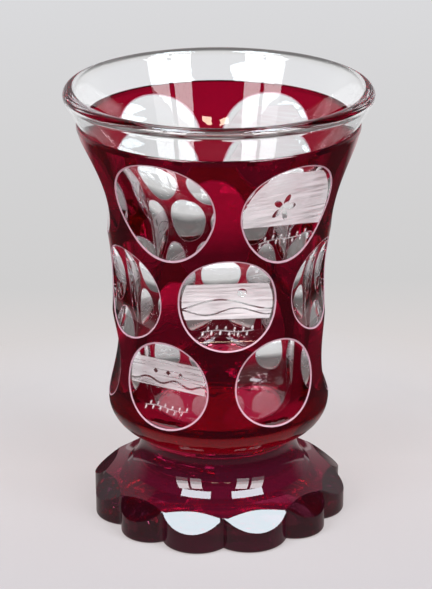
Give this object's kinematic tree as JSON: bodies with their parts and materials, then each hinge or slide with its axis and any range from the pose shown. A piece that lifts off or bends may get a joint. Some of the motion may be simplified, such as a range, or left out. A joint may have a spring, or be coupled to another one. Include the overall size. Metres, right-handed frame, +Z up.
{
  "type": "footed drinking glass",
  "caption": "Footed drinking glass: a flared clear beaker in a thin ruby casing with rows of round cut windows, joined by a merese to a solid ruby foot with scalloped lobes.",
  "frame": {"origin": "middle of the foot's flat underside", "axes": "+Z up along the glass's axis, from the foot to the rim; -Y faces the front, through the middle of a window of the middle row"},
  "size_m": [0.092, 0.092, 0.1344],
  "materials": {
    "ruby_foot_glass": "polished deep ruby glass, solid through",
    "ruby_merese_glass": "polished deep ruby glass",
    "ruby_casing_glass": "thin polished ruby layer, cut through at the windows",
    "clear_glass": "polished clear glass, with matt engraved panels in some of the windows"
  },
  "bodies": {
    "root": {"foot": "ruby_foot_glass", "merese": "ruby_merese_glass", "ruby_casing": "ruby_casing_glass", "clear_bowl": "clear_glass"}
  },
  "joints": []
}
